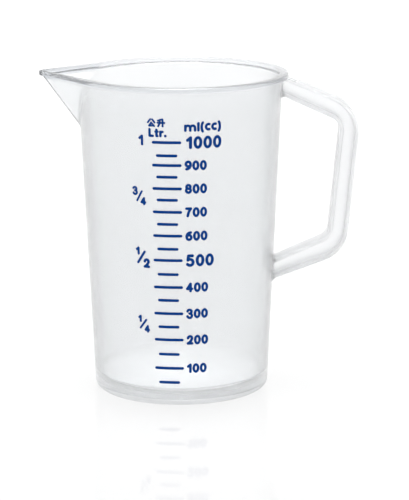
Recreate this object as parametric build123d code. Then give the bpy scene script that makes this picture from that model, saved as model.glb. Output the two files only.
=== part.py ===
from build123d import *
import math
import os

# A one-litre measuring jug, moulded in one piece of translucent polypropylene, with a printed scale.
# Millimetres, +Z up. The origin is the centre of the foot, on the table. The spout points along -X,
# the handle along +X, and the printed scale faces -Y. The moulding is divided into named solids where
# one feature ends and the next begins; they meet face to face.

# Cup
jug_height = 171.0               # table to the top of the rim
foot_radius = 46.75              # outer cone, carried down to the table
mouth_radius = 54.6              # outer cone, carried up to the top of the rim
foot_wall = 2.6                  # wall thickness at the table
mouth_wall = 1.6                 # wall thickness at the mouth
base_recess = 2.5                # the floor's underside stands this far above the table
floor_height = 5.0               # top of the floor, inside
floor_corner_radius = 5.5        # round between floor and wall, inside
foot_corner_radius = 2.4         # round at the outside of the foot
foot_ring_inner_radius = 41.5    # inner edge of the ring that the jug stands on

# Rim
rim_radius = 57.7                # outside of the bead round the mouth
rim_depth = 2.9                  # height of the bead
rim_corner_radius = 1.1          # round on the bead's outer corners
rim_inner_corner_radius = 0.6    # round on the bead's inner corner

# Spout
spout_reach = 74.2               # axis to the keel, measured at the top of the rim
keel_foot_height = 142.0         # where the keel runs into the cup wall
keel_radius = 2.2                # round along the keel, outside
lip_reach = 74.9                 # axis to the tip of the lip
lip_nose_radius = 2.8            # round at the tip of the lip
lip_rise = 1.4                   # the tip of the lip stands this far above the rim

# Handle, an I-section bent in the XZ plane
handle_width = 12.0              # across, along Y
flange_thickness = 2.1
web_thickness = 2.0
handle_root = 46.0               # the arms are drawn from here, inside the cup wall, and trimmed to it
upper_arm_top = (handle_root, 173.1)
outer_top_corner = (96.6, 152.05)
outer_bottom_corner = (88.75, 72.95)
lower_arm_bottom = (handle_root, 57.4)
outer_top_radius = 21.2
outer_bottom_radius = 19.0
upper_arm_underside = (handle_root, 162.4)
window_top_corner = (85.3, 144.65)
window_bottom_corner = (79.25, 82.5)
lower_arm_upper_side = (handle_root, 67.9)
window_corner_radius = 7.3
upper_arm_end = 80.0             # X where the upper arm becomes the upper bend
grip_top = 137.5                 # Z where the upper bend becomes the grip
grip_bottom = 88.0               # Z where the grip becomes the lower bend
lower_arm_end = 76.0             # X where the lower bend becomes the lower arm

# Printed scale. Distances across are measured along the surface from the scale's own centre line.
ink_thickness = 0.12
scale_azimuth = -7.75            # degrees from the front to the scale's centre line
mark_step = 50                   # millilitres between marks
full_volume = 1000               # millilitres
mark_thickness = 1.5
long_mark = 15.3
short_mark = 11.1
number_left = 9.2                # left edge of the numbers
number_height = 5.3
number_pen = 1.4
number_gap = 0.2
large_number_lefts = {500: 9.4, 1000: 10.1}     # left edges of the two larger numbers
large_number_height = 6.65
large_number_pen = 1.6
large_number_gap = 0.5
print_drift = {                  # how far a mark was printed above the true height of its volume
    200: 0.4, 500: 0.7, 600: 0.4, 800: -0.3, 850: -0.4, 900: -0.4, 950: -1.4, 1000: -0.5,
}
fraction_prints = {              # volume: place across, drift, slanting bar, upper figure, lower figure
    250: (-13.9, 0.9, (3.3, 4.5, 1.15), ("1", 4.0, 1.25, (-1.9, 2.8)), ("4", 4.2, 1.25, (2.1, -2.6))),
    500: (-14.4, 1.8, (3.8, 5.9, 1.3), ("1", 4.4, 1.3, (-2.0, 3.3)), ("2", 5.2, 1.45, (2.9, -3.1))),
    750: (-14.9, 1.6, (2.7, 5.0, 1.05), ("3", 4.5, 1.2, (-2.4, 2.7)), ("4", 4.4, 1.25, (2.1, -2.7))),
}
litre_across = -13.6             # the 1 beside the highest mark
litre_drift = 0.4
litre_height = 5.7
litre_pen = 1.35
litre_heading_left = -10.1
litre_word_height = 152.8        # above the table
litre_word_size = 4.6
litre_word_pen = 1.0
litre_word_gap = 0.5
litre_short_left = -9.4
litre_short_height = 147.6
litre_short_size = 4.7
litre_short_pen = 1.3
litre_short_gap = 0.2
millilitre_heading_height = 150.7
millilitre_heading_size = 5.0
millilitre_heading_pen = 1.35
millilitre_heading_gap = 0.35

print_bottom = 8.0               # lowest and highest reach of the printed film above the table
print_top = 160.0
print_block = 5.0                # how far the cutting blocks reach each side of the printed surface
overrun = 4.0                    # how far other cutting bodies run past what they cut
outer_reach = 110.0              # further out than any of the handle


# Rounded lettering on a body one unit high. A glyph is a width, ovals (centre and radii) and pen
# strokes: two points make a straight stroke, three points an arc.
glyph_width = {
    "0": 0.60, "1": 0.34, "2": 0.58, "3": 0.58, "4": 0.64, "5": 0.58, "6": 0.60, "7": 0.58,
    "8": 0.60, "9": 0.60, "m": 1.36, "l": 0.0, "C": 0.48, "(": 0.16, ")": 0.16, "L": 0.50,
    "t": 0.30, "r": 0.30, ".": 0.0, "公": 1.00, "升": 1.00,
}
glyph_ovals = {
    "0": [(0.30, 0.50, 0.30, 0.50)],
    "6": [(0.30, 0.31, 0.30, 0.31)],
    "8": [(0.30, 0.76, 0.25, 0.24), (0.30, 0.27, 0.30, 0.27)],
    "9": [(0.30, 0.69, 0.30, 0.31)],
}
glyph_strokes = {
    "1": [((0.30, 0.0), (0.30, 1.0)), ((0.30, 1.0), (0.0, 0.74))],
    "2": [((0.02, 0.74), (0.30, 1.0), (0.56, 0.72)), ((0.56, 0.72), (0.44, 0.42), (0.0, 0.0)),
          ((0.0, 0.0), (0.58, 0.0))],
    "3": [((0.0, 0.84), (0.50, 0.87), (0.26, 0.51)), ((0.26, 0.51), (0.57, 0.28), (0.0, 0.13))],
    "4": [((0.44, 0.0), (0.44, 1.0)), ((0.44, 1.0), (0.0, 0.30)), ((0.0, 0.30), (0.64, 0.30))],
    "5": [((0.50, 1.0), (0.10, 1.0)), ((0.10, 1.0), (0.04, 0.54)),
          ((0.04, 0.54), (0.57, 0.33), (0.0, 0.10))],
    "6": [((0.0, 0.34), (0.16, 0.83), (0.52, 0.98))],
    "7": [((0.0, 1.0), (0.58, 1.0)), ((0.58, 1.0), (0.32, 0.54), (0.18, 0.0))],
    "9": [((0.60, 0.66), (0.44, 0.17), (0.08, 0.02))],
    "m": [((0.0, 0.0), (0.0, 0.68)), ((0.0, 0.36), (0.34, 0.68), (0.68, 0.36)),
          ((0.68, 0.36), (0.68, 0.0)), ((0.68, 0.36), (1.02, 0.68), (1.36, 0.36)),
          ((1.36, 0.36), (1.36, 0.0))],
    "l": [((0.0, 0.0), (0.0, 1.0))],
    "C": [((0.48, 0.82), (0.0, 0.46), (0.48, 0.10))],
    "(": [((0.16, 1.08), (0.0, 0.45), (0.16, -0.18))],
    ")": [((0.0, 1.08), (0.16, 0.45), (0.0, -0.18))],
    "L": [((0.0, 1.0), (0.0, 0.0)), ((0.0, 0.0), (0.50, 0.0))],
    "t": [((0.14, 0.94), (0.14, 0.0)), ((0.0, 0.66), (0.30, 0.66)), ((0.14, 0.0), (0.28, 0.0))],
    "r": [((0.0, 0.0), (0.0, 0.66)), ((0.0, 0.38), (0.12, 0.59), (0.32, 0.66))],
    ".": [((0.0, 0.0), (0.0, 0.04))],
    "公": [((0.36, 0.98), (0.0, 0.52)), ((0.64, 0.98), (1.0, 0.52)), ((0.50, 0.52), (0.18, 0.04)),
          ((0.18, 0.04), (0.86, 0.08)), ((0.66, 0.34), (0.92, 0.0))],
    "升": [((0.56, 0.98), (0.08, 0.82)), ((0.0, 0.50), (1.0, 0.50)), ((0.34, 0.86), (0.34, 0.46)),
          ((0.34, 0.46), (0.10, 0.0)), ((0.74, 1.0), (0.74, 0.0))],
}


def outer_radius(height):
    """Radius of the cup's outer cone at a height above the table."""
    return foot_radius + (mouth_radius - foot_radius) * height / jug_height


def inner_radius(height):
    """Radius of the cup's inner cone at a height above the table."""
    foot = foot_radius - foot_wall
    mouth = mouth_radius - mouth_wall
    return foot + (mouth - foot) * height / jug_height


def filling_height(millilitres):
    """Height of the liquid surface: the volume of the inner cone's frustum above the floor."""
    slope = (inner_radius(jug_height) - inner_radius(0)) / jug_height
    volume = 1000.0 * millilitres
    radius = (3.0 * slope * volume / math.pi + inner_radius(floor_height) ** 3) ** (1.0 / 3.0)
    return (radius - inner_radius(0)) / slope


def side_face(points):
    """A flat face from points given as distance along X (or radius) and height."""
    return Plane.XZ * make_face(Polyline(*points, close=True))


def revolved(points):
    return revolve(side_face(points), Axis.Z)


def outer_cone():
    """Everything inside the cup's outer surface."""
    below = -overrun
    above = jug_height + overrun
    return revolved([
        (0.0, below),
        (outer_radius(below), below),
        (outer_radius(above), above),
        (0.0, above),
    ])


def rounded_at(face, radius, points):
    """Round the corners of a side face that lie at the given points."""
    corners = [vertex for vertex in face.vertices()
               if any(math.hypot(vertex.X - x, vertex.Z - z) < 0.01 for x, z in points)]
    return fillet(corners, radius)


# Cup, rim and foot

rim_underside = jug_height - rim_depth
corner_top = floor_height + floor_corner_radius


def foot_ring():
    ring = side_face([
        (foot_ring_inner_radius, 0.0),
        (outer_radius(0), 0.0),
        (outer_radius(base_recess), base_recess),
        (foot_ring_inner_radius, base_recess),
    ])
    ring = rounded_at(ring, foot_corner_radius, [(outer_radius(0), 0.0)])
    return revolve(ring, Axis.Z)


def base_floor():
    bottom = side_face([
        (0.0, base_recess),
        (outer_radius(base_recess), base_recess),
        (outer_radius(corner_top), corner_top),
        (inner_radius(corner_top), corner_top),
        (inner_radius(floor_height), floor_height),
        (0.0, floor_height),
    ])
    bottom = rounded_at(bottom, floor_corner_radius, [(inner_radius(floor_height), floor_height)])
    return revolve(bottom, Axis.Z)


def cup_wall():
    wall = revolved([
        (inner_radius(corner_top), corner_top),
        (outer_radius(corner_top), corner_top),
        (outer_radius(rim_underside), rim_underside),
        (inner_radius(rim_underside), rim_underside),
    ])
    return wall - spout_channel()


def rim_bead():
    bead = side_face([
        (inner_radius(rim_underside), rim_underside),
        (rim_radius, rim_underside),
        (rim_radius, jug_height),
        (inner_radius(jug_height), jug_height),
    ])
    bead = rounded_at(bead, rim_corner_radius, [(rim_radius, rim_underside), (rim_radius, jug_height)])
    bead = rounded_at(bead, rim_inner_corner_radius, [(inner_radius(jug_height), jug_height)])
    ring = revolve(bead, Axis.Z)
    return ring - spout_side_of(lip_start()) - spout_channel()


# Spout

def spout_outline(circle_radius, reach, nose_radius):
    """Plan of the spout: two edges that leave the circle as tangents and meet in a rounded nose."""
    nose_centre = reach - nose_radius
    sine = (circle_radius - nose_radius) / nose_centre
    cosine = math.sqrt(1.0 - sine * sine)
    leave = (-circle_radius * sine, circle_radius * cosine)
    arrive = (-nose_centre - nose_radius * sine, nose_radius * cosine)
    edges = [
        Line((leave[0], -leave[1]), leave),
        Line(leave, arrive),
        ThreePointArc(arrive, (-reach, 0.0), (arrive[0], -arrive[1])),
        Line((arrive[0], -arrive[1]), (leave[0], -leave[1])),
    ]
    return make_face(edges)


def lip_start():
    """X where the straight edges of the lip leave the round bead."""
    return -rim_radius * (rim_radius - lip_nose_radius) / (lip_reach - lip_nose_radius)


def along_keel(plan, low, high):
    """Sweep a plan, drawn at the top of the rim, along the keel between two heights."""
    slope = (spout_reach - outer_radius(keel_foot_height)) / (jug_height - keel_foot_height)
    start = Pos(slope * (jug_height - low), 0.0, low) * plan
    climb = Vector(-slope, 0.0, 1.0) * (high - low)
    return extrude(start, amount=climb.length, dir=climb.normalized())


def spout_channel():
    """The hollow of the spout, which also opens the cup wall behind it."""
    radius = mouth_radius - mouth_wall
    hollow = spout_outline(radius, spout_reach - mouth_wall, keel_radius - mouth_wall)
    return along_keel(hollow, keel_foot_height - 2 * overrun, jug_height + overrun)


def spout_side_of(x):
    """A block that holds everything further along -X than x."""
    size = 4 * jug_height
    return Pos(x - size / 2, 0.0, 0.0) * Box(size, size, size)


def lip_layer(bottom, top):
    """The layer over the spout between two heights at the bead, both rising to the tip."""
    past_tip = -lip_reach - overrun
    side = side_face([
        (lip_start(), bottom),
        (lip_start(), top),
        (-lip_reach, top + lip_rise),
        (past_tip, top + lip_rise),
        (past_tip, bottom + lip_rise),
        (-lip_reach, bottom + lip_rise),
    ])
    return extrude(side, amount=2 * rim_radius, both=True)


def spout_walls():
    plan = spout_outline(mouth_radius, spout_reach, keel_radius)
    outside = along_keel(plan, keel_foot_height - overrun, jug_height)
    over_lip = lip_layer(rim_underside, jug_height + overrun)
    over_mouth = Pos(0.0, 0.0, rim_underside) * Rectangle(-2 * lip_start(), 4 * rim_radius)
    over_cup = extrude(over_mouth, amount=2 * rim_depth)
    return outside - over_lip - over_cup - spout_channel() - outer_cone()


def spout_lip():
    plan = Pos(0.0, 0.0, rim_underside) * spout_outline(rim_radius, lip_reach, lip_nose_radius)
    block = extrude(plan, amount=rim_depth + overrun)
    return (block & lip_layer(rim_underside, jug_height)) - spout_channel()


# Handle

def handle_outline():
    face = side_face([upper_arm_top, outer_top_corner, outer_bottom_corner, lower_arm_bottom])
    face = rounded_at(face, outer_top_radius, [outer_top_corner])
    return rounded_at(face, outer_bottom_radius, [outer_bottom_corner])


def handle_window():
    corners = [upper_arm_underside, window_top_corner, window_bottom_corner, lower_arm_upper_side]
    face = side_face(corners)
    return rounded_at(face, window_corner_radius, [window_top_corner, window_bottom_corner])


def handle_body():
    """The whole I-section handle: flat bar with a recess between the flanges on each side."""
    bar = extrude(handle_outline() - handle_window(), amount=handle_width / 2, both=True)
    within = offset(handle_outline(), amount=-flange_thickness)
    recess = within - offset(handle_window(), amount=flange_thickness)
    depth = (handle_width - web_thickness) / 2
    for side in (-1, 1):
        middle = side * (web_thickness + depth) / 2
        bar -= Pos(0.0, middle, 0.0) * extrude(recess, amount=depth / 2, both=True)
    return bar - outer_cone() - rim_keepout()


def rim_keepout():
    """The space of the bead round the mouth, which the handle's top springs from."""
    above = jug_height + overrun
    return revolved([
        (0.0, rim_underside),
        (rim_radius, rim_underside),
        (rim_radius, above),
        (0.0, above),
    ])


def handle_piece(handle, x_range, z_range):
    """The part of the handle between two planes across X and two across Z."""
    centre = Pos(sum(x_range) / 2, 0.0, sum(z_range) / 2)
    return handle & (centre * Box(x_range[1] - x_range[0], 2 * handle_width, z_range[1] - z_range[0]))


# Printed scale

def glyph(character, height, pen):
    """One character as a flat sketch, its stroke centre lines standing on Y = 0."""
    shape = Sketch()
    for centre_x, centre_y, radius_x, radius_y in glyph_ovals.get(character, []):
        outside = Ellipse(radius_x * height + pen / 2, radius_y * height + pen / 2)
        inside = Ellipse(radius_x * height - pen / 2, radius_y * height - pen / 2)
        shape += Pos(centre_x * height, centre_y * height) * (outside - inside)
    for stroke in glyph_strokes.get(character, []):
        points = [(x * height, y * height) for x, y in stroke]
        path = Line(*points) if len(points) == 2 else ThreePointArc(*points)
        shape += SlotArc(path, pen)
    return shape


def line_of_text(text, overall_height, pen, gap):
    """A row of characters: left edge at X = 0, middle of the figures at Y = 0."""
    height = overall_height - pen
    shape = Sketch()
    left = pen / 2
    for character in text:
        shape += Pos(left, -height / 2) * glyph(character, height, pen)
        left += glyph_width[character] * height + pen + gap
    return shape


def centred(sketch):
    """The sketch moved sideways so that its middle is at X = 0, and half of its width."""
    box = sketch.bounding_box()
    return Pos(-box.center().X, 0.0) * sketch, box.size.X / 2


def ink_film():
    """A thin layer on the outside of the cup, which the print is cut from."""
    return revolved([
        (outer_radius(print_bottom), print_bottom),
        (outer_radius(print_bottom) + ink_thickness, print_bottom),
        (outer_radius(print_top) + ink_thickness, print_top),
        (outer_radius(print_top), print_top),
    ])


def printed(sketch, across, height):
    """Print a flat sketch on the cup, its origin at this place."""
    radius = outer_radius(height)
    azimuth = scale_azimuth + math.degrees(across / radius)
    upright = Rot(90.0, 0.0, 0.0) * sketch
    stood = Rot(0.0, 0.0, azimuth) * Pos(0.0, -radius, height) * upright
    return film & extrude(stood, amount=print_block, both=True)


def printed_from(sketch, left, height):
    """Print a flat sketch on the cup, its left edge at this distance across."""
    middle, half_width = centred(sketch)
    return printed(middle, left + half_width, height)


def mark_height(volume):
    return filling_height(volume) + print_drift.get(volume, 0.0)


def marks(volumes, length):
    bar = SlotOverall(length, mark_thickness)
    return Compound([printed(bar, 0.0, mark_height(volume)) for volume in volumes])


def number(volume):
    large = volume in large_number_lefts
    height = large_number_height if large else number_height
    pen = large_number_pen if large else number_pen
    gap = large_number_gap if large else number_gap
    left = large_number_lefts.get(volume, number_left)
    return printed_from(line_of_text(str(volume), height, pen, gap), left, mark_height(volume))


def figure(character, height, pen, place):
    """One figure with its middle at this place."""
    middle, _ = centred(line_of_text(character, height, pen, 0.0))
    return Pos(*place) * middle


def slanting_bar(width, height, pen):
    return SlotArc(Line((-width / 2, -height / 2), (width / 2, height / 2)), pen)


def fractions():
    """The fractions of a litre, each drawn round the middle of its slanting bar, and the plain 1."""
    prints = []
    for volume, (across, drift, bar, upper, lower) in fraction_prints.items():
        fraction = slanting_bar(*bar) + figure(*upper) + figure(*lower)
        prints.append(printed(fraction, across, filling_height(volume) + drift))
    whole = figure("1", litre_height, litre_pen, (0.0, 0.0))
    prints.append(printed(whole, litre_across, filling_height(full_volume) + litre_drift))
    return Compound(prints)


def litre_heading():
    word = line_of_text("公升", litre_word_size, litre_word_pen, litre_word_gap)
    short = line_of_text("Ltr.", litre_short_size, litre_short_pen, litre_short_gap)
    return Compound([
        printed_from(word, litre_heading_left, litre_word_height),
        printed_from(short, litre_short_left, litre_short_height),
    ])


def millilitre_heading():
    pen = millilitre_heading_pen
    text = line_of_text("ml(CC)", millilitre_heading_size, pen, millilitre_heading_gap)
    return printed_from(text, number_left, millilitre_heading_height)


hundreds = range(2 * mark_step, full_volume + 1, 2 * mark_step)
fifties = range(mark_step, full_volume, 2 * mark_step)
film = ink_film()
handle = handle_body()

nodes = {
    "foot_ring": foot_ring(),
    "base_floor": base_floor(),
    "cup_wall": cup_wall(),
    "rim_bead": rim_bead(),
    "spout_walls": spout_walls(),
    "spout_lip": spout_lip(),
    "handle_upper_arm": handle_piece(handle, (handle_root, upper_arm_end), (grip_top, jug_height)),
    "handle_upper_bend": handle_piece(handle, (upper_arm_end, outer_reach), (grip_top, jug_height)),
    "handle_grip": handle_piece(handle, (lower_arm_end, outer_reach), (grip_bottom, grip_top)),
    "handle_lower_bend": handle_piece(handle, (lower_arm_end, outer_reach), (0.0, grip_bottom)),
    "handle_lower_arm": handle_piece(handle, (handle_root, lower_arm_end), (0.0, grip_bottom)),
    "marks_every_100_ml": marks(hundreds, long_mark),
    "marks_every_50_ml": marks(fifties, short_mark),
    "numbers_in_millilitres": Compound([number(volume) for volume in hundreds]),
    "fractions_of_a_litre": fractions(),
    "heading_litres": litre_heading(),
    "heading_millilitres": millilitre_heading(),
}

os.makedirs("parts", exist_ok=True)
for name, shape in nodes.items():
    export_step(shape, f"parts/{name}.step")
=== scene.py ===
import math

import bmesh
import bpy
from mathutils import Matrix, Vector


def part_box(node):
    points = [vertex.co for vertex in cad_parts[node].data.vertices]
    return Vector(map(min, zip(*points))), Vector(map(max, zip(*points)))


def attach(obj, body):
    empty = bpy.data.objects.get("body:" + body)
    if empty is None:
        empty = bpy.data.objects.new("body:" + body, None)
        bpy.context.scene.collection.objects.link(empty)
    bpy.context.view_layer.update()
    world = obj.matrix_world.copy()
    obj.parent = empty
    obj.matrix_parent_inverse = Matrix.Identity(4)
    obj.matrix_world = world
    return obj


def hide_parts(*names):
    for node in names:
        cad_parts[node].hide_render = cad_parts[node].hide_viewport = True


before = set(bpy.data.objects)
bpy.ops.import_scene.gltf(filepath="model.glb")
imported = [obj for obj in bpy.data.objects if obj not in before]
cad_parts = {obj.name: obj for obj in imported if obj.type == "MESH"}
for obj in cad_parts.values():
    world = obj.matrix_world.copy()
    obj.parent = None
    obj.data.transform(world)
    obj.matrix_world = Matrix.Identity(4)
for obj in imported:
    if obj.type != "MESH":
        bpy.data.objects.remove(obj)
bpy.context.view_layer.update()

# The looks of a one-litre measuring jug in translucent polypropylene. Lengths are millimetres in the
# frame's axes until a mesh is made. The cup, rim, spout and handle are one moulding, so one mesh stands
# for all of their CAD nodes. The printed scale keeps its CAD nodes.

MM = 0.001
MOULDING_NODES = [
    "foot_ring", "base_floor", "cup_wall", "rim_bead", "spout_walls", "spout_lip",
    "handle_upper_arm", "handle_upper_bend", "handle_grip", "handle_lower_bend", "handle_lower_arm",
]
INK_NODES = [
    "marks_every_100_ml", "marks_every_50_ml", "numbers_in_millilitres", "fractions_of_a_litre",
    "heading_litres", "heading_millilitres",
]


def node_box(name):
    """Lowest and highest corners of a CAD node, in millimetres."""
    low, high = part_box(name)
    return low / MM, high / MM


rim_low, rim_high = node_box("rim_bead")
lip_low, lip_high = node_box("spout_lip")
floor_low, floor_high = node_box("base_floor")
grip_low, grip_high = node_box("handle_grip")

# Cup
JUG_HEIGHT = rim_high.z
FOOT_RADIUS = 46.75
MOUTH_RADIUS = 54.6
FOOT_WALL = 2.6
MOUTH_WALL = 1.6
BASE_RECESS = floor_low.z
FLOOR_HEIGHT = 5.0
FLOOR_CORNER = floor_high.z - FLOOR_HEIGHT
FOOT_CORNER = 2.4
FOOT_INNER_RADIUS = 41.5
FOOT_INNER_ROUND = 0.5
RECESS_ROUND = 1.0

# Rim and lip
RIM_RADIUS = rim_high.x
RIM_DEPTH = rim_high.z - rim_low.z
RIM_ROUND = 1.1
RIM_INNER_ROUND = 0.6
RIM_ROOT_ROUND = 0.6
LIP_REACH = -lip_low.x
LIP_NOSE_RADIUS = 2.8
LIP_RISE = lip_high.z - JUG_HEIGHT

# Spout
SPOUT_REACH = 74.2
KEEL_RADIUS = 2.2
KEEL_FOOT_HEIGHT = 142.0
SPOUT_FADE = 6.0                 # the spout has no effect this far below its keel's foot
JUNCTION_ROUND = 0.9             # width over which the spout's sides blend into the cup

# Handle
HANDLE_WIDTH = grip_high.y - grip_low.y
FLANGE = 2.1
WEB = 2.0
FLANGE_ROUND = 0.7
WEB_ROUND = 0.8
OUTER_POINTS = [(46.0, 173.1), (96.6, 152.05), (88.75, 72.95), (46.0, 57.4)]
OUTER_RADII = [21.2, 19.0]
WINDOW_POINTS = [(46.0, 162.4), (85.3, 144.65), (79.25, 82.5), (46.0, 67.9)]
WINDOW_RADII = [7.3, 7.3]
ROOT_ROUND = 2.2                 # fillet where the handle springs from the wall
RECESS_ROOT_ROUND = 0.7          # the same, inside the recess of the I-section
ROOT_DEPTH = 0.8                 # the handle's ends are buried this deep in the wall
ROOT_STEP = 0.05                 # the fillet stops this far above the wall
ROOT_CEILING = JUG_HEIGHT - RIM_INNER_ROUND


# Outline of the cup and the spout

def outer_radius(height):
    return FOOT_RADIUS + (MOUTH_RADIUS - FOOT_RADIUS) * height / JUG_HEIGHT


def inner_radius(height):
    foot = FOOT_RADIUS - FOOT_WALL
    mouth = MOUTH_RADIUS - MOUTH_WALL
    return foot + (mouth - foot) * height / JUG_HEIGHT


def soft_max(first, second, width):
    """The larger of two values, with a round of this width where they cross."""
    share = min(max(0.5 + 0.5 * (first - second) / width, 0.0), 1.0)
    return second + (first - second) * share + width * share * (1.0 - share)


def vee_radius(azimuth, setback, circle_radius, reach, nose_radius):
    """Distance from the axis to a V-shaped outline: two edges tangent to a circle, and a rounded nose.

    The azimuth is measured from the spout, and setback moves the whole outline away from the nose.
    """
    nose_centre = reach - nose_radius
    sine = (circle_radius - nose_radius) / nose_centre
    edge_angle = math.asin(sine)
    edge_distance = circle_radius - setback * sine
    turn = azimuth + edge_angle
    if turn > math.pi / 2:
        return edge_distance * math.sin(turn)
    nose = nose_centre - setback
    nose_end = math.atan2(nose_radius * math.cos(edge_angle), nose + nose_radius * sine)
    if azimuth >= nose_end:
        return edge_distance / math.sin(turn)
    return nose * math.cos(azimuth) + math.sqrt(nose_radius ** 2 - (nose * math.sin(azimuth)) ** 2)


def keel_setback(height):
    """How far the spout has drawn back towards the cup at this height."""
    slope = (SPOUT_REACH - outer_radius(KEEL_FOOT_HEIGHT)) / (JUG_HEIGHT - KEEL_FOOT_HEIGHT)
    return slope * (JUG_HEIGHT - height)


def outer_wall(azimuth, height):
    """Radius of the outer surface of the cup and spout."""
    cone = outer_radius(height)
    if height < KEEL_FOOT_HEIGHT - SPOUT_FADE:
        return cone
    spout = vee_radius(azimuth, keel_setback(height), MOUTH_RADIUS, SPOUT_REACH, KEEL_RADIUS)
    return soft_max(spout, cone, JUNCTION_ROUND)


def inner_wall(azimuth, height):
    """Radius of the inner surface of the cup and spout."""
    cone = inner_radius(height)
    if height < KEEL_FOOT_HEIGHT - SPOUT_FADE:
        return cone
    spout = vee_radius(azimuth, keel_setback(height), MOUTH_RADIUS - MOUTH_WALL,
                       SPOUT_REACH - MOUTH_WALL, KEEL_RADIUS - MOUTH_WALL)
    return soft_max(spout, cone, JUNCTION_ROUND)


def bead_radius(azimuth):
    """Outside of the bead and the lip."""
    return max(RIM_RADIUS, vee_radius(azimuth, 0.0, RIM_RADIUS, LIP_REACH, LIP_NOSE_RADIUS))


def rise(azimuth):
    """How far the top of the lip stands above the rim."""
    start = RIM_RADIUS * (RIM_RADIUS - LIP_NOSE_RADIUS) / (LIP_REACH - LIP_NOSE_RADIUS)
    out = bead_radius(azimuth) * math.cos(azimuth)
    return LIP_RISE * max(0.0, (out - start) / (LIP_REACH - start))


def spread(start, end, steps):
    """Evenly spaced values from start to end, both included."""
    return [start + (end - start) * i / steps for i in range(steps + 1)]


def arc(centre, radius, start, end, steps):
    """Points on an arc; the angles are degrees from the first axis."""
    angles = [math.radians(angle) for angle in spread(start, end, steps)]
    return [(centre[0] + radius * math.cos(t), centre[1] + radius * math.sin(t)) for t in angles]


def wall_corner(radius_at, centre_height, radius):
    """Centre of a round that touches a cone, and the lean of the cone in degrees."""
    lean = math.atan(radius_at(1.0) - radius_at(0.0))
    return (radius_at(centre_height) - radius / math.cos(lean), centre_height), math.degrees(lean)


# Mesh of the cup

FINE_STEP = 0.2                  # degrees between columns of the mesh at the nose of the spout
STEP_GROWTH = 0.055
COARSE_STEP = 2.0
PLAIN_WALL_STEPS = 15
SPOUT_WALL_STEPS = 34
FLOOR_RINGS = [12.0, 24.0, 33.0, 38.0]
RING_GAP = 1.0                   # the last ring stays this far from the floor's round
OUTER_ROUND_SHARE = 0.6          # most of the bead's width that each of its rounds may take
INNER_ROUND_SHARE = 0.35
ROOT_ROUND_SHARE = 0.4


def column_azimuths():
    """Azimuths of the mesh's columns, close together at the spout."""
    half = [0.0]
    while half[-1] < 180.0 - COARSE_STEP:
        half.append(half[-1] + min(COARSE_STEP, FINE_STEP + STEP_GROWTH * half[-1]))
    half = [azimuth * 180.0 / half[-1] for azimuth in half]
    there = [math.radians(azimuth) for azimuth in half[:-1]]
    back = [-math.radians(azimuth) for azimuth in half[:0:-1]]
    return there + back


def foot_profile():
    """From the recess under the floor round the foot ring, up to the outer wall."""
    centre, lean = wall_corner(outer_radius, FOOT_CORNER, FOOT_CORNER)
    points = [(radius, BASE_RECESS) for radius in FLOOR_RINGS]
    recess_corner = (FOOT_INNER_RADIUS - RECESS_ROUND, BASE_RECESS - RECESS_ROUND)
    points += arc(recess_corner, RECESS_ROUND, 90.0, 0.0, 4)
    ring_corner = (FOOT_INNER_RADIUS + FOOT_INNER_ROUND, FOOT_INNER_ROUND)
    points += arc(ring_corner, FOOT_INNER_ROUND, 180.0, 270.0, 3)
    return points + arc(centre, FOOT_CORNER, -90.0, -lean, 8)


def floor_profile():
    """From the inner wall round the corner to the middle of the floor."""
    centre, lean = wall_corner(inner_radius, FLOOR_HEIGHT + FLOOR_CORNER, FLOOR_CORNER)
    points = arc(centre, FLOOR_CORNER, -lean, -90.0, 10)
    rings = [radius for radius in reversed(FLOOR_RINGS) if radius < centre[0] - RING_GAP]
    return points + [(radius, FLOOR_HEIGHT) for radius in rings]


def wall_heights(low, high):
    """Heights of the mesh's rows on a wall: sparse on the plain cone, close together on the spout."""
    start = KEEL_FOOT_HEIGHT - SPOUT_FADE
    return spread(low, start, PLAIN_WALL_STEPS)[1:] + spread(start, high, SPOUT_WALL_STEPS)[1:]


def column(azimuth):
    """The moulding's profile in one direction, as radius and height, from under the floor to inside."""
    azimuth = abs(azimuth)
    top = JUG_HEIGHT + rise(azimuth)
    underside = top - RIM_DEPTH
    bead = bead_radius(azimuth)
    mouth = inner_wall(azimuth, top)
    outer_round = min(RIM_ROUND, OUTER_ROUND_SHARE * (bead - mouth))
    inner_round = min(RIM_INNER_ROUND, INNER_ROUND_SHARE * (bead - mouth))

    points = foot_profile()
    root = underside - RIM_ROOT_ROUND
    rows = wall_heights(points[-1][1], root)[:-1]
    points += [(outer_wall(azimuth, height), height) for height in rows]
    root_radius = outer_wall(azimuth, root)
    root_round = min(RIM_ROOT_ROUND, ROOT_ROUND_SHARE * (bead - root_radius))
    points += arc((root_radius + root_round, underside - root_round), root_round, 180.0, 90.0, 4)
    points += arc((bead - outer_round, underside + outer_round), outer_round, -90.0, 0.0, 5)
    points += arc((bead - outer_round, top - outer_round), outer_round, 0.0, 90.0, 6)
    mouth = inner_wall(azimuth, top - inner_round)
    points += arc((mouth + inner_round, top - inner_round), inner_round, 90.0, 180.0, 4)
    floor = floor_profile()
    rows = wall_heights(floor[0][1], top - inner_round)[:-1]
    points += [(inner_wall(azimuth, height), height) for height in reversed(rows)]
    return points + floor


def mesh_object(name, vertices, faces):
    """An object from vertices in millimetres."""
    mesh = bpy.data.meshes.new(name)
    mesh.from_pydata([Vector(vertex) * MM for vertex in vertices], [], faces)
    shape = bmesh.new()
    shape.from_mesh(mesh)
    bmesh.ops.recalc_face_normals(shape, faces=shape.faces)
    shape.to_mesh(mesh)
    shape.free()
    made = bpy.data.objects.new(name, mesh)
    bpy.context.scene.collection.objects.link(made)
    return made


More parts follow.
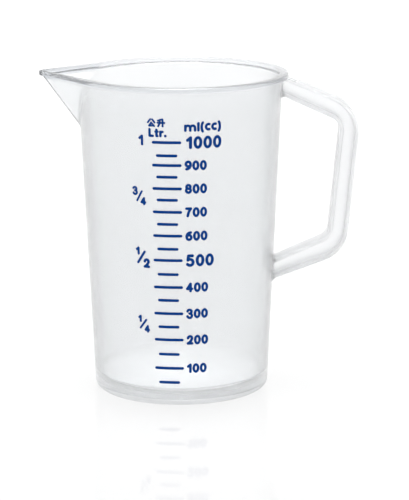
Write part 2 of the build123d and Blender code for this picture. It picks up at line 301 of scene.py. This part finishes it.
def make_cup():
    azimuths = column_azimuths()
    vertices = []
    for azimuth in azimuths:
        vertices += [(-radius * math.cos(azimuth), -radius * math.sin(azimuth), height)
                     for radius, height in column(azimuth)]
    rows = len(vertices) // len(azimuths)
    under, inside = len(vertices), len(vertices) + 1
    vertices += [(0.0, 0.0, BASE_RECESS), (0.0, 0.0, FLOOR_HEIGHT)]
    faces = []
    for i in range(len(azimuths)):
        here, there = i * rows, (i + 1) % len(azimuths) * rows
        faces += [(here + k, there + k, there + k + 1, here + k + 1) for k in range(rows - 1)]
        faces += [(under, there, here), (inside, here + rows - 1, there + rows - 1)]
    return mesh_object("jug_moulding", vertices, faces)


# Mesh of the handle

BEND_STEPS = 20
GRIP_STEPS = 8
ARM_STEPS = 5
ROUND_STEPS = 4
ROOT_STEPS = 8
HALVINGS = 30                    # of the search for a point at a given distance from the wall


def plane_point(point):
    return Vector((point[0], 0.0, point[1]))


def moved_corners(points, shift):
    """The contour's points after its lines move to the right of their direction."""
    starts, alongs = [], []
    for start, end in zip(points, points[1:]):
        along = (plane_point(end) - plane_point(start)).normalized()
        right = Vector((along.z, 0.0, -along.x))
        starts.append(plane_point(start) + right * shift)
        alongs.append(along)
        last = plane_point(end) + right * shift
    corners = [starts[0]]
    for i in range(len(starts) - 1):
        across = alongs[i].cross(alongs[i + 1])
        reach = (starts[i + 1] - starts[i]).cross(alongs[i + 1]).y / across.y
        corners.append(starts[i] + alongs[i] * reach)
    return corners + [last]


def bend(before, corner, after, radius):
    """Points along the round at a corner."""
    back = (before - corner).normalized()
    ahead = (after - corner).normalized()
    half = back.angle(ahead) / 2
    centre = corner + (back + ahead).normalized() * (radius / math.sin(half))
    start = corner + back * (radius / math.tan(half)) - centre
    sweep = math.pi - 2 * half
    return [centre + Matrix.Rotation(angle, 3, "Y") @ start for angle in spread(0.0, sweep, BEND_STEPS)]


def straight(start, end, steps):
    """Points along a straight stretch, the last one left out."""
    return [start.lerp(end, share) for share in spread(0.0, 1.0, steps)[:-1]]


def contour(points, radii, shift):
    """Points of a contour from one root of the handle to the other."""
    corners = moved_corners(points, shift)
    first = bend(corners[0], corners[1], corners[2], radii[0] - shift)
    second = bend(corners[1], corners[2], corners[3], radii[1] - shift)
    path = [corners[0]] + first[:-1] + straight(first[-1], second[0], GRIP_STEPS) + second
    return path + [corners[3]]


def half_section():
    """Half of the I-section, from the middle of the outer face to the middle of the inner one.

    Each entry is the contour it is measured from, the distance from it towards the inside of the bend,
    the distance from the middle plane, the direction in which the surface faces (along and across), and
    the radius of the fillet at the root.
    """
    edge = HANDLE_WIDTH / 2
    entries = [(0, 0.0, 0.0, -1.0, 0.0, ROOT_ROUND), (0, 0.0, edge / 2, -1.0, 0.0, ROOT_ROUND)]
    turns = [math.radians(angle) for angle in spread(0.0, 90.0, ROUND_STEPS)]
    for turn in turns:
        sine, cosine = math.sin(turn), math.cos(turn)
        along, across = FLANGE_ROUND * (1 - cosine), edge - FLANGE_ROUND * (1 - sine)
        entries.append((0, along, across, -cosine, sine, ROOT_ROUND))
    for turn in turns:
        sine, cosine = math.sin(turn), math.cos(turn)
        fillet = ROOT_ROUND * cosine + RECESS_ROOT_ROUND * (1 - cosine)
        along, across = FLANGE_ROUND * (sine - 1), edge - FLANGE_ROUND * (1 - cosine)
        entries.append((1, along, across, sine, cosine, fillet))
    for turn in turns:
        sine, cosine = math.sin(turn), math.cos(turn)
        side = WEB / 2 + WEB_ROUND * (1 - sine)
        entries.append((1, WEB_ROUND * (1 - cosine), side, cosine, sine, RECESS_ROOT_ROUND))
    mirrored = [(3 - contour_index, -along, across, -facing, sideways, fillet)
                for contour_index, along, across, facing, sideways, fillet in reversed(entries)]
    return entries + mirrored


def whole_section():
    half = half_section()
    other = [(index, along, -across, facing, -sideways, fillet)
             for index, along, across, facing, sideways, fillet in half[-2:0:-1]]
    return half + other


def wall_gap(point):
    """Distance of a point from the cup's outer surface."""
    return math.hypot(point.x, point.y) - outer_radius(point.z)


def root_point(buried, away, gap):
    """The point on the line between two points that stands at this distance from the wall."""
    low, high = 0.0, 1.0
    for _ in range(HALVINGS):
        middle = (low + high) / 2
        if wall_gap(buried.lerp(away, middle)) < gap:
            low = middle
        else:
            high = middle
    return buried.lerp(away, low)


def root_loops(buried, away, inward, section):
    """Loops of the section near the wall, with a fillet, from inside the wall outwards."""
    gaps = [-ROOT_DEPTH] + [ROOT_ROUND * share ** 2 for share in spread(0.0, 1.0, ROOT_STEPS)]
    loops = []
    for gap in gaps:
        loop = []
        for entry, start, end in zip(section, buried, away):
            _, _, _, facing, sideways, fillet = entry
            inside = fillet - min(max(gap, 0.0), fillet)
            swell = fillet - math.sqrt(fillet ** 2 - inside ** 2)
            shift = (inward * facing + Vector((0.0, 1.0, 0.0)) * sideways) * swell
            point = root_point(start + shift, end + shift, gap + (ROOT_STEP if gap >= 0.0 else 0.0))
            point.z = min(point.z, ROOT_CEILING)
            loop.append(point)
        loops.append(loop)
    last = loops[-1]
    for share in spread(0.0, 1.0, ARM_STEPS)[1:-1]:
        loops.append([near.lerp(far, share) for near, far in zip(last, away)])
    return loops


def make_handle():
    contours = [
        contour(OUTER_POINTS, OUTER_RADII, 0.0),
        contour(OUTER_POINTS, OUTER_RADII, FLANGE),
        contour(WINDOW_POINTS, WINDOW_RADII, -FLANGE),
        contour(WINDOW_POINTS, WINDOW_RADII, 0.0),
    ]
    section = whole_section()
    stations = []
    inwards = []
    for points in zip(*contours):
        inward = (points[3] - points[0]).normalized()
        inwards.append(inward)
        stations.append([points[index] + inward * along + Vector((0.0, across, 0.0))
                         for index, along, across, _, _, _ in section])
    upper = root_loops(stations[0], stations[1], inwards[0], section)
    lower = root_loops(stations[-1], stations[-2], inwards[-1], section)
    loops = upper + stations[1:-1] + lower[::-1]
    size = len(section)
    vertices = [point for loop in loops for point in loop]
    faces = []
    for i in range(len(loops) - 1):
        for k in range(size):
            ahead = (k + 1) % size
            faces.append((i * size + k, i * size + ahead, (i + 1) * size + ahead, (i + 1) * size + k))
    first_end = list(range(size))
    last_end = [(len(loops) - 1) * size + k for k in range(size)]
    faces += [tuple(reversed(first_end)), tuple(last_end)]
    handle = mesh_object("handle_bar", vertices, faces)
    shape = bmesh.new()
    shape.from_mesh(handle.data)
    bmesh.ops.triangulate(shape, faces=[face for face in shape.faces if len(face.verts) > 4])
    shape.to_mesh(handle.data)
    shape.free()
    return handle


def joined(body, tool):
    """Unite a second closed mesh with the first, and remove the second."""
    union = body.modifiers.new("union", "BOOLEAN")
    union.operation = "UNION"
    union.solver = "MANIFOLD"
    union.object = tool
    bpy.context.view_layer.update()
    evaluated = body.evaluated_get(bpy.context.evaluated_depsgraph_get())
    mesh = bpy.data.meshes.new_from_object(evaluated)
    body.modifiers.clear()
    body.data = mesh
    bpy.data.objects.remove(tool)
    return body


# Materials

# Finishes of the moulding: share of light let through, range of roughness, and two tones.
FINISHES = {
    "translucent_polypropylene": (0.84, (0.18, 0.22), (0.978, 0.989, 1.0), (0.984, 0.993, 1.0)),
    "frosted_polypropylene": (0.52, (0.45, 0.50), (0.980, 0.990, 0.999), (0.986, 0.994, 1.0)),
    "handle_polypropylene": (0.90, (0.40, 0.45), (0.978, 0.987, 0.998), (0.985, 0.992, 1.0)),
    # The bead is the same plastic, but its two tones are a darker grey: painted shade for the grey band
    # that light through the thick bead gives.
    "bead_polypropylene_painted_shade": (0.94, (0.18, 0.22), (0.790, 0.812, 0.842), (0.805, 0.827, 0.857)),
}
WALL, BASE, HANDLE, BEAD_PAINTED_SHADE = range(len(FINISHES))
SEAM_DROP = 1.5                  # the base's finish ends this far below the top of the floor's round
BASE_MARGIN = 0.1                # how far outside the inner wall a face still counts as base
BEAD_MARGIN = 0.3
HANDLE_MARGIN = 0.02
SMOOTH_ANGLE = 35.0              # degrees; a sharper edge is not smoothed

PLASTIC_IOR = 1.49
TONE_SIZE = 40.0                 # millimetres, and so are the other sizes of noise
SATIN_SIZE = 18.0
RELIEF_SIZE = 20.0
RELIEF_HEIGHT = 0.02
PLASTIC_SPECULAR = 0.5

INK_IOR = 1.45
INK_SPECULAR = 0.05
INK_TONES = (0.003, 0.043, 0.220), (0.005, 0.056, 0.290)
INK_ROUGHNESS = 0.45, 0.60
INK_TONE_SIZE = 3.0
INK_SATIN_SIZE = 1.0
INK_RELIEF_SIZE = 0.8
INK_RELIEF_HEIGHT = 0.01

TABLE_IOR = 1.45
TABLE_SPECULAR = 0.30
TABLE_GLOW = 0.69
TABLE_TONES = (0.12, 0.12, 0.12), (0.13, 0.13, 0.13)
TABLE_ROUGHNESS = 0.04, 0.06
TABLE_TONE_SIZE = 300.0
TABLE_SATIN_SIZE = 200.0

NOISE_DETAIL = 2.0
NOISE_LOW = 0.3                  # a noise is taken from here to the high value
NOISE_HIGH = 0.7


class Nodes:
    """Short calls for building a material's node tree."""

    def __init__(self, name):
        self.material = bpy.data.materials.new(name)
        self.material.use_nodes = True
        self.tree = self.material.node_tree
        self.shader = self.tree.nodes["Principled BSDF"]
        self.place = self.add("ShaderNodeTexCoord").outputs["Object"]

    def add(self, kind, **values):
        node = self.tree.nodes.new(kind)
        for key, value in values.items():
            if hasattr(node, key):
                setattr(node, key, value)
            else:
                node.inputs[key.replace("_", " ")].default_value = value
        return node

    def link(self, source, target):
        self.tree.links.new(source, target)

    def noise(self, size):
        """Noise with features of about this many millimetres."""
        node = self.add("ShaderNodeTexNoise", Scale=1.0 / (size * MM), Detail=NOISE_DETAIL)
        self.link(self.place, node.inputs["Vector"])
        return node.outputs["Fac"]

    def ramp(self, source, low, high):
        """Map the middle of a noise's range to values between low and high."""
        node = self.add("ShaderNodeMapRange")
        node.inputs["From Min"].default_value = NOISE_LOW
        node.inputs["From Max"].default_value = NOISE_HIGH
        node.inputs["To Min"].default_value = low
        node.inputs["To Max"].default_value = high
        self.link(source, node.inputs["Value"])
        return node.outputs["Result"]

    def colours(self, source, dark, light):
        """Mix two colours by a noise."""
        node = self.add("ShaderNodeMix", data_type="RGBA")
        first, second = [socket for socket in node.inputs if socket.type == "RGBA"]
        first.default_value = (*dark, 1.0)
        second.default_value = (*light, 1.0)
        self.link(source, node.inputs["Factor"])
        return next(socket for socket in node.outputs if socket.type == "RGBA")

    def bump(self, source, height):
        """Relief of this height in millimetres."""
        node = self.add("ShaderNodeBump", Strength=1.0, Distance=height * MM)
        self.link(source, node.inputs["Height"])
        return node.outputs["Normal"]


def translucent_plastic(name, transmission, roughness, dark, light):
    """Natural polypropylene: light passes, partly scattered, through a faintly uneven satin surface."""
    nodes = Nodes(name)
    shader = nodes.shader
    shader.inputs["IOR"].default_value = PLASTIC_IOR
    shader.inputs["Transmission Weight"].default_value = transmission
    shader.inputs["Specular IOR Level"].default_value = PLASTIC_SPECULAR
    nodes.link(nodes.colours(nodes.noise(TONE_SIZE), dark, light), shader.inputs["Base Color"])
    nodes.link(nodes.ramp(nodes.noise(SATIN_SIZE), *roughness), shader.inputs["Roughness"])
    nodes.link(nodes.bump(nodes.noise(RELIEF_SIZE), RELIEF_HEIGHT), shader.inputs["Normal"])
    return nodes.material


def scale_ink():
    """Blue screen-printed ink, satin and slightly uneven."""
    nodes = Nodes("blue_scale_ink")
    shader = nodes.shader
    shader.inputs["IOR"].default_value = INK_IOR
    shader.inputs["Specular IOR Level"].default_value = INK_SPECULAR
    nodes.link(nodes.colours(nodes.noise(INK_TONE_SIZE), *INK_TONES), shader.inputs["Base Color"])
    nodes.link(nodes.ramp(nodes.noise(INK_SATIN_SIZE), *INK_ROUGHNESS), shader.inputs["Roughness"])
    nodes.link(nodes.bump(nodes.noise(INK_RELIEF_SIZE), INK_RELIEF_HEIGHT), shader.inputs["Normal"])
    return nodes.material


def floor_surface():
    """White acrylic, lit from below."""
    nodes = Nodes("white_table")
    shader = nodes.shader
    shader.inputs["IOR"].default_value = TABLE_IOR
    shader.inputs["Specular IOR Level"].default_value = TABLE_SPECULAR
    shader.inputs["Emission Color"].default_value = (1.0, 1.0, 1.0, 1.0)
    shader.inputs["Emission Strength"].default_value = TABLE_GLOW
    nodes.link(nodes.colours(nodes.noise(TABLE_TONE_SIZE), *TABLE_TONES), shader.inputs["Base Color"])
    nodes.link(nodes.ramp(nodes.noise(TABLE_SATIN_SIZE), *TABLE_ROUGHNESS), shader.inputs["Roughness"])
    return nodes.material


# Stage

FLOOR_SIZE = 9.0                 # metres
SOFTBOX_HEIGHT = 1.2
SOFTBOX_SIZE = 0.7
SOFTBOX_POWER = 18.0             # watts
WORLD_FRONT = 0.62               # strength of the surroundings, in front of the scale and behind the jug
WORLD_BACK = 1.01
CAMERA_PLACE = (0.0, -1.17827, 0.35031)
CAMERA_PITCH = -13.216           # degrees
CAMERA_YAW = 0.6193
CAMERA_ROLL = -0.178
CAMERA_LENS = 160.83             # millimetres
CAMERA_REACH = 50.0              # metres


def make_floor():
    half = FLOOR_SIZE / 2 / MM
    corners = [(-half, -half, 0.0), (half, -half, 0.0), (half, half, 0.0), (-half, half, 0.0)]
    floor = mesh_object("table", corners, [(0, 1, 2, 3)])
    floor.data.materials.append(floor_surface())


def make_world():
    """Soft white surroundings, brighter behind the jug than in front of it."""
    world = bpy.data.worlds.new("studio")
    bpy.context.scene.world = world
    world.use_nodes = True
    tree = world.node_tree
    background = tree.nodes["Background"]
    background.inputs["Color"].default_value = (1.0, 1.0, 1.0, 1.0)
    place = tree.nodes.new("ShaderNodeTexCoord")
    split = tree.nodes.new("ShaderNodeSeparateXYZ")
    ramp = tree.nodes.new("ShaderNodeMapRange")
    ramp.inputs["From Min"].default_value = -1.0
    ramp.inputs["From Max"].default_value = 1.0
    ramp.inputs["To Min"].default_value = WORLD_FRONT
    ramp.inputs["To Max"].default_value = WORLD_BACK
    tree.links.new(place.outputs["Generated"], split.inputs[0])
    tree.links.new(split.outputs["Y"], ramp.inputs["Value"])
    tree.links.new(ramp.outputs["Result"], background.inputs["Strength"])


def make_softbox():
    """A round softbox overhead, which lights the floor of the jug through its mouth."""
    lamp = bpy.data.lights.new("softbox", "AREA")
    lamp.shape = "DISK"
    lamp.size = SOFTBOX_SIZE
    lamp.energy = SOFTBOX_POWER
    softbox = bpy.data.objects.new("softbox", lamp)
    softbox.location = (0.0, 0.0, SOFTBOX_HEIGHT)
    bpy.context.scene.collection.objects.link(softbox)


def make_camera():
    lens = bpy.data.cameras.new("camera")
    lens.lens = CAMERA_LENS
    lens.clip_end = CAMERA_REACH
    camera = bpy.data.objects.new("camera", lens)
    bpy.context.scene.collection.objects.link(camera)
    turn = Matrix.Rotation(-math.radians(CAMERA_YAW), 4, "Z")
    tilt = Matrix.Rotation(math.radians(90.0 + CAMERA_PITCH), 4, "X")
    roll = Matrix.Rotation(math.radians(CAMERA_ROLL), 4, "Z")
    camera.matrix_world = Matrix.Translation(CAMERA_PLACE) @ turn @ tilt @ roll
    bpy.context.scene.camera = camera


# Assembly

def finish_at(place):
    """Which of the finishes a place on the moulding has, in millimetres."""
    radius = math.hypot(place.x, place.y)
    under_bead = JUG_HEIGHT - RIM_DEPTH
    base_top = FLOOR_HEIGHT + FLOOR_CORNER - SEAM_DROP
    # Faces of the bead take the darker grey finish, which is painted shade.
    if place.z > under_bead and radius > inner_radius(place.z) + BEAD_MARGIN:
        return BEAD_PAINTED_SHADE
    if place.z < base_top and radius < inner_radius(place.z) + BASE_MARGIN:
        return BASE
    beside_spine = place.x > 0.0 and abs(place.y) < HANDLE_WIDTH
    outside = radius > outer_radius(place.z) + HANDLE_MARGIN
    if beside_spine and outside and place.z < under_bead - RIM_ROOT_ROUND:
        return HANDLE
    return WALL


def make_moulding():
    moulding = joined(make_cup(), make_handle())
    moulding.data.shade_smooth()
    moulding.data.set_sharp_from_angle(angle=math.radians(SMOOTH_ANGLE))
    moulding.data.materials.clear()
    for name, finish in FINISHES.items():
        moulding.data.materials.append(translucent_plastic(name, *finish))
    for face in moulding.data.polygons:
        face.material_index = finish_at(face.center / MM)
    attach(moulding, "root")
    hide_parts(*MOULDING_NODES)


def ink_the_scale():
    ink = scale_ink()
    for name in INK_NODES:
        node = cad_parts[name]
        node.data.materials.clear()
        node.data.materials.append(ink)


make_moulding()
ink_the_scale()
make_floor()
make_world()
make_softbox()
make_camera()
bpy.context.scene.view_settings.view_transform = "Standard"
